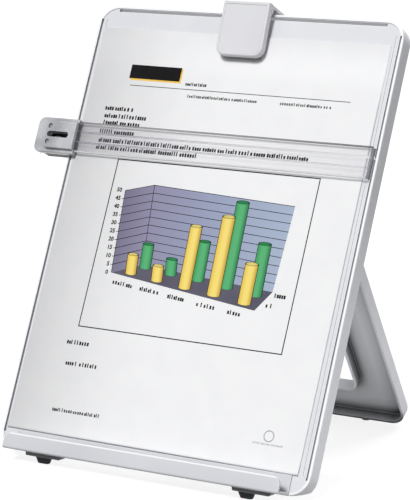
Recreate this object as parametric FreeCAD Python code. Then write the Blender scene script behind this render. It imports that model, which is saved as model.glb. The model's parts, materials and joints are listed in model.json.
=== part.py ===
import FreeCAD, Part
import math
import os

# Letter-size copy holder with a line guide, in millimetres and degrees.
# The tilting board is modelled lying flat: x across it, y up it from the line that the sheet stands on,
# z out of its face. The leg is modelled the same way about its hinge axis. Both are then stood on the desk.
# On the desk, +Z is up, the face looks along -Y, and the origin is the middle of the footprint.

# Stance
board_tilt = 26.0           # the board leans back from upright
leg_lean = 32.15            # the open leg leans forward from upright
sheet_line_height = 17.5    # height of the sheet's foot over the desk

# Clearances
overrun = 1.0               # how far a cutting shape runs past the solid
same_place = 0.001          # points nearer than this are one
slide_gap = 0.2             # between sliding faces
seat_gap = 0.1              # between pieces that rest on each other
pin_running_gap = 0.05      # radial, pin in a turning bore
pin_held_gap = 0.02         # radial, pin in the bore that holds it

# Sheet of paper
sheet_width = 215.9
sheet_length = 279.4
sheet_thickness = 0.3
sheet_offset = -2.35        # the sheet's foot stands a little left of the middle
sheet_turn = 0.26           # it leans a little to the right

# Front panel, a moulded shell open at the back
panel_side_margin = 6.35    # beside the sheet
panel_top_margin = 16.2     # over the sheet
panel_drop = 13.6           # below the sheet line
panel_corner = 14.0
panel_depth = 10.4          # behind the face
panel_wall = 2.0
panel_skin = 2.4
panel_desk_gap = 5.4        # the lower back edge is trimmed level, this far over the desk
rim_height = 0.6            # the raised edge round the face
rim_width = 1.6
rim_round = 1.1
track_width = 1.5           # the groove inside each side rim
track_depth = 1.2
track_top_margin = 9.8      # the groove's upper end, below the panel's top edge
track_drop = 1.8            # the groove's lower end, below the sheet line
track_end_radius = 0.9      # round pocket at the groove's lower end
step_line_inset = 3.8       # fine line down each side of the face, in from the rim
step_line_width = 0.5
step_line_depth = 0.3
slot_end_margin = 13.4      # from the clip's slot to the panel's side
slot_width = 2.0
rib_thickness = 1.6
rib_depth = 5.0
rib_field_base = 192.0      # the back's ribbed field starts over the leg's hinge
rib_field_margin = 1.0      # under the clip's keeper
rib_columns = 5
rib_rows = 3
side_rib_pitch = 36.0

# Leg hinge
hinge_height = 173.2        # up the board
hinge_depth = 7.4           # behind the face
hinge_pin_radius = 2.0
hinge_eye_radius = 4.4
hinge_boss_radius = 4.6
hinge_lug_thickness = 4.5
hinge_ear_thickness = 4.0
hinge_side_gap = 0.5
stop_land_length = 3.0      # flat on each ear that meets the panel when the leg is open

# Leg, a shallow tray with a window
leg_side_inset = 22.3       # inside the panel's sides
leg_corner = 12.0
leg_wall = 2.0
leg_web_back = 4.8          # web's outer face behind the hinge axis
leg_front = 4.4             # flange edge in front of the hinge axis
leg_top_drop = 7.0          # tray's top edge below the hinge axis
leg_edge_round = 1.2
leg_desk_gap = 1.0
leg_recess_gap = 1.5        # between the leg's sides and the panel's recess
window_side_margin = 31.0   # beside the window
window_corner = 8.0
window_base = 28.8          # over the leg's lower end
window_length = 104.0

# Rear feet
rear_foot_radius = 3.2
rear_foot_stem_radius = 1.6
rear_foot_inset = 32.5      # from the leg's side
rear_foot_setback = 0.3     # from the flange edge
rear_foot_stem = 1.2        # blind, inside the flange

# Ledge under the sheet
ledge_side_inset = 12.6     # inside the panel's sides
ledge_reach = 15.0          # out from the face
ledge_drop = 15.2           # at the lip; the floor rises to the panel's lower edge at the back
ledge_wall = 2.0
ledge_back_thickness = 1.2
ledge_lip_top = -4.5
ledge_lip_corner = 5.5
ledge_round = 1.4
pad_inset = 24.6            # from the ledge's end to the pad's middle
pad_width = 29.0
pad_taper = 1.5             # narrower at each side, down to its sole
pad_reach = 2.7             # out from the face
pad_sole_height = 4.1       # over the desk

# Front feet
right_foot_shift = -3.6     # the right foot is set nearer the middle than its pad
front_foot_width = 12.2
front_foot_length = 4.0
front_foot_round = 1.8
front_foot_taper = 1.9       # each side, from the pad to the desk
front_foot_setback = 0.2    # behind the pad's front edge
front_foot_peg_radius = 1.3
front_foot_peg = 0.8

# Clip
clip_offset = 2.0           # where the clip stands along the slot, from the middle
carriage_width = 24.0
carriage_tongue = 1.6
carriage_plate = 2.0        # front plate of the carriage
carriage_keeper = 1.6       # plate behind the panel's skin
carriage_drop = 10.2
carriage_ear_thickness = 2.0
carriage_ear_radius = 2.1
clip_pin_radius = 1.0
clip_pin_height = 1.9       # over the slot's upper edge
clip_pin_out = 6.0          # out from the face
jaw_width = 34.6
jaw_length = 36.8
jaw_depth = 5.0
jaw_wall = 1.6
jaw_nose = 6.0              # solid lower end that carries the rubber
jaw_slant = 4.7
jaw_top_out = 11.0          # outer face at the apex, out from the board
jaw_top_rise = 4.3          # apex over the panel's top edge
jaw_corner = 6.5
jaw_bevel = 1.2
jaw_border = 2.0
jaw_inset = 0.4             # how far the jaw's face lies inside its border
lever_reach = 18.0          # behind the face
lever_thickness = 2.0
lever_bend = 6.0            # length of the turned-down end
lever_bend_drop = 2.2
lever_ridges = 7
lever_ridge_pitch = 2.4
lever_ridge_height = 0.5
jaw_rubber_width = 27.0
jaw_rubber_height = 4.5
jaw_rubber_base = 1.0       # over the jaw's lower edge

# Clip spring
spring_wire = 0.6
spring_radius = 1.8         # to the wire's middle
spring_quarter_turns = 17
spring_pitch = 1.1
spring_lever_arm = 10.5
spring_foot_drop = 7.0
spring_bend = 1.2

# Line guide
guide_base = 189.5          # lower edge of the bar, over the sheet line
guide_height = 21.3
guide_thickness = 3.0
guide_stand_off = 2.0       # bar's back over the face
guide_runner_width = 1.1
guide_toe = 1.8             # the bar's end stands this far in from its runner's outer face
guide_toe_thickness = 0.8
guide_chamfer = 0.6
guide_line_width = 0.5
guide_line_depth = 0.3
tongue_margin = 1.5         # the bar's tongue is this much narrower at each edge
tongue_length = 24.0

# Slider head
head_overhang = 25.3        # out past the panel's side
head_cover = 6.6            # in over the panel
head_base = 187.4
head_height = 24.5
head_corner = 4.6
head_back = 1.4             # housing's back over the face
head_flange_top = 5.8
head_block_top = 8.4
head_block_inset = 8.8      # from the head's left edge
head_block_margin = 2.6
head_block_corner = 3.0
head_edge_round = 0.8
window_slot_length = 17.0
window_slot_width = 4.0
window_slot_inset = 4.9     # from the head's right edge
grip_inset = 2.2            # the grip block is smaller than the housing on its left
grip_margin = 1.0
grip_depth = 9.0            # behind the face
grip_round = 2.5
hook_height = 11.0
hook_reach = 4.6            # in behind the panel's side wall
hook_thickness = 2.2
hook_wall = 3.0
brake_length = 5.6
brake_pocket_depth = 3.0
leaf_thickness = 0.4
leaf_rise = 2.2
rivet_radius = 1.2
rivet_head_radius = 1.6
rivet_head_height = 0.5
rivet_spacing = 11.0
rivet_inset = 2.8           # in from the block's left edge
rivet_depth = 4.0           # into the grip block
rivet_sink = 1.8            # counterbore under the block's top
rivet_sink_gap = 0.15       # round the rivet's head

# Derived places, in the board's frame
panel_width = sheet_width + 2 * panel_side_margin
panel_top = sheet_length + panel_top_margin
half_panel = panel_width / 2
rim_inner = half_panel - rim_width
track_inner = rim_inner - track_width
track_top = panel_top - track_top_margin
slot_length = panel_width - 2 * slot_end_margin
skin_back = -panel_skin
slot_top = panel_top - panel_wall
slot_base = slot_top - slot_width
hinge_z = -hinge_depth
leg_half = half_panel - leg_side_inset
window_half = leg_half - window_side_margin
rear_foot_x = leg_half - rear_foot_inset
ledge_half = half_panel - ledge_side_inset
pad_x = ledge_half - pad_inset
recess_half = leg_half + leg_recess_gap
sheet_top = seat_gap + sheet_thickness
rib_field_top = slot_top - carriage_drop - rib_field_margin - rib_thickness
sheet_foot_rise = sheet_width / 2 * math.sin(math.radians(sheet_turn))
ledge_back_top = -sheet_foot_rise - seat_gap    # the sheet's lower right corner rests on it
guide_back = guide_stand_off
guide_front = guide_stand_off + guide_thickness
guide_top = guide_base + guide_height
runner_right = rim_inner - slide_gap
guide_right = runner_right - guide_toe
head_left = -half_panel - head_overhang
head_right = -half_panel + head_cover
head_block_left = head_left + head_block_inset
window_slot_right = head_right - window_slot_inset
window_slot_left = window_slot_right - window_slot_length
rivet_seat = head_block_top - rivet_sink
clip_pin_y = slot_top + clip_pin_height
jaw_top_y = panel_top + jaw_top_rise
slot_middle = head_base + head_height / 2
spring_turns = spring_quarter_turns / 4
diagonal_share = math.sqrt(1 / 2)   # of a radius, across and up to its rim at 45 degrees

# Derived stance
tilt = math.radians(board_tilt)
lean = math.radians(leg_lean)
open_angle = board_tilt + leg_lean
hinge_world_y = hinge_height * math.sin(tilt) + hinge_depth * math.cos(tilt)
hinge_world_z = sheet_line_height + hinge_height * math.cos(tilt) - hinge_depth * math.sin(tilt)
leg_length = (hinge_world_z - leg_desk_gap - leg_front * math.sin(lean)) / math.cos(lean)
ledge_round_y = ledge_round - ledge_drop
ledge_round_z = ledge_reach - ledge_round
front_y = ledge_round_y * math.sin(tilt) - ledge_round_z * math.cos(tilt) - ledge_round
rear_foot_back = rear_foot_setback + rear_foot_radius * 2 - leg_front
rear_foot_reach = (hinge_world_z + rear_foot_back * math.sin(lean)) / math.cos(lean)
rear_y = hinge_world_y + rear_foot_reach * math.sin(lean) + rear_foot_back * math.cos(lean)
origin_x = (head_left + half_panel) / 2
origin_y = (front_y + rear_y) / 2


def vec(x, y, z):
    return FreeCAD.Vector(x, y, z)


def block(x0, x1, y0, y1, z0, z1):
    return Part.makeBox(x1 - x0, y1 - y0, z1 - z0, vec(x0, y0, z0))


def rod_x(radius, x0, x1, y, z):
    """A round bar along x."""
    return Part.makeCylinder(radius, x1 - x0, vec(x0, y, z), vec(1, 0, 0))


def rod_z(radius, x, y, z0, z1):
    """A round bar along z."""
    return Part.makeCylinder(radius, z1 - z0, vec(x, y, z0), vec(0, 0, 1))


def side_prism(points, x0, x1):
    """Extrude a side outline of (y, z) points from x0 to x1."""
    corners = [vec(x0, y, z) for y, z in points]
    face = Part.Face(Part.makePolygon(corners + corners[:1]))
    return face.extrude(vec(x1 - x0, 0, 0))


def end_prism(points, y0, y1):
    """Extrude an end outline of (x, z) points from y0 to y1."""
    corners = [vec(x, y0, z) for x, z in points]
    face = Part.Face(Part.makePolygon(corners + corners[:1]))
    return face.extrude(vec(0, y1 - y0, 0))


def rounded_slab(x0, x1, y0, y1, z0, z1, radii):
    """A slab whose four corners, from lower left anticlockwise, have their own radii."""
    corners = [(x0, y0, 1, 1), (x1, y0, -1, 1), (x1, y1, -1, -1), (x0, y1, 1, -1)]
    edges = []
    ends = []
    for (x, y, sx, sy), r in zip(corners, radii):
        before = vec(x, y + sy * r, z0)
        after = vec(x + sx * r, y, z0)
        if sx * sy < 0:
            before, after = after, before
        ends.append((before, after))
        if r > 0:
            near = r * (1 - diagonal_share)
            edges.append(Part.Arc(before, vec(x + sx * near, y + sy * near, z0), after).toShape())
    for i, (_, leave) in enumerate(ends):
        arrive = ends[(i + 1) % len(ends)][0]
        if leave.distanceToPoint(arrive) > same_place:
            edges.append(Part.LineSegment(leave, arrive).toShape())
    wire = Part.Wire(Part.__sortEdges__(edges))
    return Part.Face(wire).extrude(vec(0, 0, z1 - z0))


def edges_where(shape, test):
    return [e for e in shape.Edges if test(e.BoundBox)]


def fused(first, *others):
    return first.multiFuse(list(others)).removeSplitter()


def front_panel():
    low = -panel_drop
    radii = [panel_corner] * 4
    shell = rounded_slab(-half_panel, half_panel, low, panel_top, -panel_depth, rim_height, radii)
    front_edges = edges_where(shell, lambda b: b.ZMin > 0)
    shell = shell.makeFillet(rim_round, front_edges)
    inner = [panel_corner - rim_width] * 4
    face_cut = rounded_slab(-rim_inner, rim_inner, low + rim_width, panel_top - rim_width, 0,
                            rim_height + overrun, inner)
    hollow_half = half_panel - panel_wall
    hollow = rounded_slab(-hollow_half, hollow_half, low + panel_wall, panel_top - panel_wall,
                          -panel_depth - overrun, skin_back, [panel_corner - panel_wall] * 4)
    shell = shell.cut(face_cut).cut(hollow)
    shell = fused(shell, *back_ribs(), *hinge_lugs())
    cuts = [leg_mouth(), ledge_gap(), clip_slot(), level_trim()]
    cuts += face_grooves()
    cuts += [hinge_bore(side) for side in (-1, 1)]
    return shell.cut(Part.makeCompound(cuts))


def lug_inner():
    """Inner face of the hinge's inner lug."""
    return leg_half - hinge_ear_thickness - hinge_side_gap - hinge_lug_thickness


def cheek_outer():
    """Outer face of the hinge's outer cheek."""
    return leg_half + hinge_side_gap + hinge_lug_thickness


def hinge_bore(side):
    """Through the inner lug, and blind in the outer one."""
    x0, x1 = sorted((side * (lug_inner() - overrun), side * (cheek_outer() - hinge_side_gap)))
    return rod_x(hinge_pin_radius + pin_held_gap, x0, x1, hinge_height, hinge_z)


def hinge_lugs():
    """Two lugs at each side hold a hinge pin, with the leg's ear between them."""
    lugs = []
    for side in (-1, 1):
        for near, far in ((lug_inner(), lug_inner() + hinge_lug_thickness),
                          (cheek_outer() - hinge_lug_thickness, cheek_outer())):
            x0, x1 = sorted((side * near, side * far))
            eye = rod_x(hinge_boss_radius, x0, x1, hinge_height, hinge_z)
            foot = side_prism([(hinge_height - hinge_boss_radius, hinge_z),
                               (hinge_height + hinge_boss_radius, hinge_z),
                               (hinge_height + hinge_boss_radius + panel_wall, skin_back),
                               (hinge_height - hinge_boss_radius - panel_wall, skin_back)], x0, x1)
            lugs += [eye, foot]
    return lugs


def back_ribs():
    """Rails beside the leg's recess, rungs outside them and a ribbed field over the hinge."""
    ribs = []
    rail_inner = recess_half
    rail_outer = recess_half + rib_thickness
    base = panel_wall - panel_drop
    hollow_half = half_panel - panel_wall
    for side in (-1, 1):
        x0, x1 = sorted((side * rail_inner, side * rail_outer))
        ribs.append(block(x0, x1, base, rib_field_top + rib_thickness, skin_back - rib_depth, skin_back))
        x0, x1 = sorted((side * rail_inner, side * hollow_half))
        for row in range(int((rib_field_top - base) / side_rib_pitch)):
            y = base + side_rib_pitch * (row + 1)
            ribs.append(block(x0, x1, y, y + rib_thickness, skin_back - rib_depth, skin_back))
    field_step = 2 * recess_half / (rib_columns - 1)
    for column in range(1, rib_columns - 1):
        x = -recess_half + field_step * column
        ribs.append(block(x - rib_thickness / 2, x + rib_thickness / 2, rib_field_base, rib_field_top,
                          skin_back - rib_depth, skin_back))
    row_step = (rib_field_top - rib_field_base) / (rib_rows - 1)
    for row in range(rib_rows):
        y = rib_field_base + row_step * row
        ribs.append(block(-rail_inner, rail_inner, y, y + rib_thickness, skin_back - rib_depth, skin_back))
    return ribs


def leg_mouth():
    """The lower wall is open where the folded leg's end passes."""
    return block(-recess_half, recess_half, -panel_drop - overrun, panel_wall - panel_drop + overrun,
                 -panel_depth - overrun, skin_back)


def ledge_gap():
    """The rim stops where the ledge stands on the face."""
    half = ledge_half + slide_gap
    return block(-half, half, -panel_drop - overrun, -panel_drop + rim_width + overrun, 0,
                 rim_height + overrun)


def clip_slot():
    """The clip's slot through the skin, with round ends."""
    half = slot_length / 2
    radii = [slot_width / 2] * 4
    return rounded_slab(-half, half, slot_base, slot_top, skin_back - overrun, rim_height + overrun, radii)


def level_trim():
    """Cut the lower back edge level with the desk."""
    base = desk_line(panel_desk_gap)
    deep = -panel_depth - overrun
    low = min(base(0), base(deep)) - panel_drop
    return side_prism([(base(deep), deep), (base(0), 0), (low, 0), (low, deep)], -half_panel, half_panel)


def desk_line(height):
    """Place up the board, at each z, of the level plane at a height over the desk."""
    return lambda z: (height - sheet_line_height - z * math.sin(tilt)) / math.cos(tilt)


def face_grooves():
    """The two guide tracks, with a round pocket at the foot, and the fine line beside each."""
    grooves = []
    for side in (-1, 1):
        x0, x1 = sorted((side * track_inner, side * rim_inner))
        grooves.append(block(x0, x1, -track_drop, track_top, -track_depth, overrun))
        pocket_x = side * (rim_inner - track_end_radius)
        grooves.append(rod_z(track_end_radius, pocket_x, -track_drop, -track_depth, overrun))
        line = rim_inner - step_line_inset
        x0, x1 = sorted((side * line, side * (line - step_line_width)))
        grooves.append(block(x0, x1, 0, track_top, -step_line_depth, overrun))
    return grooves


def hinge_pin(side):
    x0, x1 = sorted((side * lug_inner(), side * (cheek_outer() - hinge_side_gap * 2)))
    return rod_x(hinge_pin_radius, x0, x1, hinge_height, hinge_z)


def paper_ledge():
    low = -ledge_drop
    trough = low + ledge_wall
    profile = [(ledge_back_top, 0), (ledge_back_top, ledge_back_thickness),
               (ledge_wall - panel_drop, ledge_back_thickness), (trough, ledge_reach - ledge_wall),
               (ledge_lip_top, ledge_reach - ledge_wall), (ledge_lip_top, ledge_reach),
               (low, ledge_reach), (-panel_drop, 0)]
    ledge = side_prism(profile, -ledge_half, ledge_half)
    lip_ends = edges_where(ledge, lambda b: abs(b.YMin - ledge_lip_top) < seat_gap
                           and b.YLength < seat_gap and b.XLength < seat_gap)
    ledge = ledge.makeFillet(ledge_lip_corner, lip_ends)
    low_front = edges_where(ledge, lambda b: b.YMax < low + seat_gap and b.ZMin > ledge_reach - seat_gap)
    ledge = ledge.makeFillet(ledge_round, low_front)
    lip_front = edges_where(ledge, lambda b: b.ZMin > ledge_reach - seat_gap and b.YMax > trough
                            and b.YMin > low + ledge_round + seat_gap)
    ledge = ledge.makeFillet(ledge_wall / 3, lip_front)
    ledge = fused(ledge, foot_pad(-pad_x), foot_pad(pad_x))
    sockets = [front_foot_peg_hole(side) for side in (-1, 1)]
    return ledge.cut(Part.makeCompound(sockets))


def foot_pad(x):
    """A foot under the ledge and the panel's lower edge, with a level sole and drawn-in sides."""
    sole = desk_line(pad_sole_height)
    under_panel = desk_line(panel_desk_gap - seat_gap)
    top = -panel_drop + ledge_wall / 2
    half = pad_width / 2
    outline = [(top, 0), (top, pad_reach), (sole(pad_reach), pad_reach), (sole(skin_back), skin_back),
               (under_panel(skin_back), skin_back), (under_panel(0), 0)]
    wedge = side_prism(outline, x - half, x + half)
    high = under_panel(skin_back)
    low = sole(pad_reach)
    corners = [vec(x - half, high, skin_back), vec(x + half, high, skin_back),
               vec(x + half - pad_taper, low, skin_back), vec(x - half + pad_taper, low, skin_back)]
    front = Part.Face(Part.makePolygon(corners + corners[:1])).extrude(vec(0, 0, pad_reach - skin_back))
    return wedge.common(front)


def front_foot_y():
    """The foot's middle on the desk, in from the pad's front edge."""
    sole = desk_line(pad_sole_height)(pad_reach)
    pad_front = sole * math.sin(tilt) - pad_reach * math.cos(tilt)
    return pad_front + front_foot_setback + front_foot_length / 2


def front_foot_x(side):
    return -pad_x if side < 0 else pad_x + right_foot_shift


def front_foot_peg_hole(side):
    x = front_foot_x(side)
    hole = Part.makeCylinder(front_foot_peg_radius + seat_gap, front_foot_peg + seat_gap,
                             vec(x, front_foot_y(), pad_sole_height), vec(0, 0, 1))
    return lay_back(hole)


def front_foot(side):
    """A rubber block that narrows to the desk, with a peg that plugs into the pad."""
    x = front_foot_x(side)
    y = front_foot_y()
    top = front_foot_width / 2
    low = top - front_foot_taper
    outline = [(x - low, 0), (x + low, 0), (x + top, pad_sole_height), (x - top, pad_sole_height)]
    corners = [vec(across, y - front_foot_length / 2, up) for across, up in outline]
    sole = Part.Face(Part.makePolygon(corners + corners[:1])).extrude(vec(0, front_foot_length, 0))
    upright = edges_where(sole, lambda b: b.ZLength > seat_gap)
    sole = sole.makeFillet(front_foot_round, upright)
    peg = Part.makeCylinder(front_foot_peg_radius, front_foot_peg, vec(x, y, pad_sole_height), vec(0, 0, 1))
    return fused(sole, peg)


def paper_sheet():
    half = sheet_width / 2
    sheet = block(sheet_offset - half, sheet_offset + half, 0, sheet_length, seat_gap, sheet_top)
    sheet.rotate(vec(sheet_offset, 0, 0), vec(0, 0, 1), -sheet_turn)
    return sheet


def support_leg():
    """In the leg's own frame: hinge axis at zero, y up the leg, z towards the board."""
    low = -leg_length
    tray = rounded_slab(-leg_half, leg_half, low, -leg_top_drop, -leg_web_back, leg_front,
                        [leg_corner, leg_corner, 0, 0])
    back_edges = edges_where(tray, lambda b: b.ZMax < seat_gap - leg_web_back
                             and b.YMin < -leg_top_drop - overrun)
    tray = tray.makeFillet(leg_edge_round, back_edges)
    inside = rounded_slab(leg_wall - leg_half, leg_half - leg_wall,
                          low + leg_wall, -leg_top_drop - leg_wall,
                          leg_wall - leg_web_back, leg_front + overrun,
                          [leg_corner - leg_wall, leg_corner - leg_wall, 0, 0])
    tray = tray.cut(inside)
    window_low = low + window_base
    frame = rounded_slab(-window_half - leg_wall, window_half + leg_wall, window_low - leg_wall,
                         window_low + window_length + leg_wall, -leg_web_back, leg_front,
                         [window_corner + leg_wall] * 4)
    hole = rounded_slab(-window_half, window_half, window_low, window_low + window_length,
                        -leg_web_back - overrun, leg_front + overrun, [window_corner] * 4)
    ears = [leg_ear(side) for side in (-1, 1)]
    leg = fused(tray, frame, *ears).cut(hole)
    holes = [rod_x(hinge_pin_radius + pin_running_gap, -leg_half - overrun, leg_half + overrun, 0, 0)]
    holes += [rear_foot_stem_hole(side) for side in (-1, 1)]
    return leg.cut(Part.makeCompound(holes))


def leg_ear(side):
    """The tray's side wall thickens and rises round the pin, with a flat that stops on the panel."""
    x0, x1 = sorted((side * leg_half, side * (leg_half - hinge_ear_thickness)))
    shank = side_prism([(-leg_top_drop * 2, -leg_web_back + leg_wall / 2), (-leg_top_drop * 2, leg_front),
                        (0, leg_front), (0, -leg_front)], x0, x1)
    eye = rod_x(hinge_eye_radius, x0, x1, 0, 0)
    reach = hinge_depth - panel_skin - seat_gap
    land = side_prism([(0, 0), (0, reach), (stop_land_length, reach), (stop_land_length, 0)], x0, x1)
    land.rotate(vec(0, 0, 0), vec(1, 0, 0), -open_angle)
    return fused(eye, shank, land)


def rear_foot_z():
    return leg_front - rear_foot_setback - rear_foot_radius


def rear_foot_stem_hole(side):
    x = side * rear_foot_x
    return Part.makeCylinder(rear_foot_stem_radius + seat_gap, overrun + rear_foot_stem + seat_gap,
                             vec(x, -leg_length - overrun, rear_foot_z()), vec(0, 1, 0))


def rear_foot(side):
    """A rubber plug in the leg's lower flange, cut level where it meets the desk."""
    x = side * rear_foot_x
    drop = leg_desk_gap / math.cos(lean) + (leg_front - rear_foot_z() + rear_foot_radius) * math.tan(lean)
    up = vec(0, 1, 0)
    head = Part.makeCylinder(rear_foot_radius, drop, vec(x, -leg_length - drop, rear_foot_z()), up)
    stem = Part.makeCylinder(rear_foot_stem_radius, rear_foot_stem, vec(x, -leg_length, rear_foot_z()), up)
    foot = stand_leg(fused(head, stem))
    reach = rear_foot_radius * 2
    y = foot.BoundBox.Center.y
    under = block(x - reach, x + reach, y - drop - reach, y + drop + reach, -drop - reach, 0)
    return foot.cut(under)


def clip_carriage():
    """It runs in the slot: a tongue through it, a plate before the panel and a keeper behind it."""
    half = carriage_width / 2
    top = slot_top - slide_gap
    low = slot_top - carriage_drop
    front = slide_gap + carriage_plate
    back = skin_back - slide_gap - carriage_keeper
    plate = block(-half, half, low, top, slide_gap, front)
    tongue = block(-half, half, top - carriage_tongue, top, back, front)
    keeper = block(-half, half, low, top, back, skin_back - slide_gap)
    ears = [carriage_ear(side, low, top) for side in (-1, 1)]
    carriage = fused(plate, tongue, keeper, *ears)
    bore = rod_x(clip_pin_radius + pin_held_gap, -jaw_width, jaw_width, clip_pin_y, clip_pin_out)
    foot = spring_foot()
    foot_hole = rod_z(spring_wire / 2 + seat_gap, foot.x, foot.y, slide_gap - overrun,
                      slide_gap + carriage_plate + overrun)
    return carriage.cut(bore).cut(foot_hole)


def carriage_ear(side, low, top):
    """An arm that leans out from the plate's end to the eye that holds the pivot pin."""
    half = carriage_width / 2
    front = slide_gap + carriage_plate
    x0, x1 = sorted((side * half, side * (half + carriage_ear_thickness)))
    eye = rod_x(carriage_ear_radius, x0, x1, clip_pin_y, clip_pin_out)
    flank = carriage_ear_radius * diagonal_share
    arm = side_prism([(low, slide_gap), (low, front), (clip_pin_y - flank, clip_pin_out + flank),
                      (clip_pin_y + flank, clip_pin_out - flank), (top, slide_gap + carriage_plate / 2),
                      (top - carriage_tongue, slide_gap)], x0, x1)
    x0, x1 = sorted((side * (half - carriage_ear_thickness), side * (half + carriage_ear_thickness)))
    root = block(x0, x1, low, top - carriage_tongue, slide_gap, front)
    return fused(eye, arm, root)


def clip_pivot_pin():
    return rod_x(clip_pin_radius, -jaw_width / 2, jaw_width / 2, clip_pin_y, clip_pin_out)


def jaw_cap():
    """The front jaw in its own frame: top edge at y zero, outer face at z zero, open at the back."""
    half = jaw_width / 2
    cap = rounded_slab(-half, half, -jaw_length, 0, -jaw_depth, 0, [jaw_corner, jaw_corner, 0, 0])
    front = edges_where(cap, lambda b: b.ZMin > -seat_gap and b.YMin < -seat_gap)
    cap = cap.makeFillet(jaw_bevel, front)
    inset_r = jaw_corner - jaw_border
    inset = rounded_slab(jaw_border - half, half - jaw_border, jaw_border - jaw_length, -jaw_border,
                         -jaw_inset, overrun, [inset_r, inset_r, 0, 0])
    pocket = block(jaw_wall - half, half - jaw_wall, jaw_nose - jaw_length, -jaw_wall,
                   -jaw_depth - overrun, -jaw_wall)
    return cap.cut(inset).cut(pocket)


def clip_jaw():
    """One moulding: the front jaw, its two pivot ears and the ridged rear lever."""
    half = jaw_width / 2
    cap = jaw_cap()
    cap.rotate(vec(0, 0, 0), vec(1, 0, 0), jaw_slant)
    cap.translate(vec(0, jaw_top_y, jaw_top_out))
    low = jaw_top_y - lever_thickness
    bend = lever_bend - lever_reach
    lever = side_prism([(low, jaw_top_out - jaw_bevel * 2), (jaw_top_y, jaw_top_out - jaw_bevel),
                        (jaw_top_y, bend), (jaw_top_y - lever_bend_drop, -lever_reach),
                        (low - lever_bend_drop, -lever_reach), (low, bend)], -half, half)
    pieces = [lever]
    for ridge in range(lever_ridges):
        z = bend + lever_ridge_pitch / 2 + lever_ridge_pitch * ridge
        foot = lever_ridge_pitch / 3
        pieces.append(side_prism([(jaw_top_y, z - foot), (jaw_top_y, z + foot),
                                  (jaw_top_y + lever_ridge_height, z)], jaw_wall - half, half - jaw_wall))
    for side in (-1, 1):
        x0, x1 = sorted((side * half, side * (carriage_width / 2 + carriage_ear_thickness + slide_gap)))
        eye = rod_x(carriage_ear_radius, x0, x1, clip_pin_y, clip_pin_out)
        inner = clip_pin_out - carriage_ear_radius
        outer = jaw_top_out - jaw_wall * 2
        arm = side_prism([(clip_pin_y - carriage_ear_radius, clip_pin_out), (clip_pin_y, inner),
                          (low, inner), (low, outer), (clip_pin_y - carriage_ear_radius * 2, outer)], x0, x1)
        pieces += [eye, arm]
    jaw = fused(cap, *pieces)
    bore = rod_x(clip_pin_radius + pin_running_gap, -jaw_width, jaw_width, clip_pin_y, clip_pin_out)
    return jaw.cut(bore)


def clip_jaw_rubber(jaw):
    """A soft strip that fills the space between the jaw's nose and the sheet."""
    base = jaw_top_y - jaw_length * math.cos(math.radians(jaw_slant)) + jaw_rubber_base
    half = jaw_rubber_width / 2
    front = jaw_top_out - jaw_depth
    strip = block(-half, half, base, base + jaw_rubber_height, sheet_top + seat_gap, front)
    return strip.cut(jaw)


def arc_between(start, tangent, end):
    """The arc from start to end that leaves along the tangent."""
    chord = end - start
    along = FreeCAD.Vector(chord).normalize()
    aside = tangent - along * tangent.dot(along)
    turn = math.atan2(aside.Length, tangent.dot(along))
    middle = start + chord * 0.5 + aside.normalize() * (chord.Length / 2 * math.tan(turn / 2))
    return Part.Arc(start, middle, end).toShape()


def biarc(p0, t0, p1, t1):
    """Two arcs that join two points smoothly along their tangents."""
    gap = p1 - p0
    both = t0 + t1
    spread = 2 * (1 - t0.dot(t1))
    reach = (math.sqrt(gap.dot(both) ** 2 + spread * gap.dot(gap)) - gap.dot(both)) / spread
    joint = (p0 + p1 + (t0 - t1) * reach) * 0.5
    back = arc_between(p1, t1 * -1, joint)
    return [arc_between(p0, t0, joint), back]


def spring_point(turn):
    """Middle of the wire and its direction after some turns, wound from the top towards the front."""
    angle = math.pi / 2 - 2 * math.pi * turn
    place = vec((turn - spring_turns / 2) * spring_pitch, clip_pin_y + spring_radius * math.sin(angle),
                clip_pin_out + spring_radius * math.cos(angle))
    pace = 2 * math.pi * spring_radius
    way = vec(spring_pitch, -pace * math.cos(angle), pace * math.sin(angle))
    return place, way.normalize()


def spring_foot():
    """Where the lower arm has turned in towards the carriage."""
    end, way = spring_point(spring_turns)
    return end + way * spring_foot_drop + vec(0, 0, -spring_bend)


def spring_self_gap():
    """Least gap between turns, measured between points a half turn or more apart along the coil."""
    steps_per_turn = 60
    steps = int(spring_turns * steps_per_turn)
    points = [spring_point(step / steps_per_turn)[0] for step in range(steps + 1)]
    apart = steps_per_turn // 2
    nearest = min(a.distanceToPoint(b) for i, a in enumerate(points) for b in points[i + apart:])
    return nearest - spring_wire


def clip_spring():
    """A torsion spring: one arm under the lever, the other turned into the carriage."""
    start, first_way = spring_point(0)
    edges = [Part.LineSegment(start - first_way * spring_lever_arm, start).toShape()]
    for quarter in range(spring_quarter_turns):
        p0, t0 = spring_point(quarter / 4)
        p1, t1 = spring_point((quarter + 1) / 4)
        edges += biarc(p0, t0, p1, t1)
    end, way = spring_point(spring_turns)
    bend_start = end + way * (spring_foot_drop - spring_bend)
    bend_end = spring_foot()
    edges.append(Part.LineSegment(end, bend_start).toShape())
    edges.append(arc_between(bend_start, way, bend_end))
    tip = vec(bend_end.x, bend_end.y, slide_gap)
    edges.append(Part.LineSegment(bend_end, tip).toShape())
    path = Part.Wire(Part.__sortEdges__(edges))
    first = path.OrderedVertexes[0].Point
    ring = Part.Wire(Part.makeCircle(spring_wire / 2, first, first_way))
    return path.makePipeShell([ring], True, False)


def rivet_places():
    x = head_block_left + rivet_inset
    return [(x, slot_middle - rivet_spacing / 2), (x, slot_middle + rivet_spacing / 2)]


def rivet_holes(radius, z0, z1):
    return [rod_z(radius, x, y, z0, z1) for x, y in rivet_places()]


def window_slot(z0, z1):
    """The long hole through the slider head's front, with round ends."""
    r = window_slot_width / 2
    low = slot_middle - r
    return rounded_slab(window_slot_left, window_slot_right, low, low + window_slot_width, z0, z1, [r] * 4)


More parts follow.
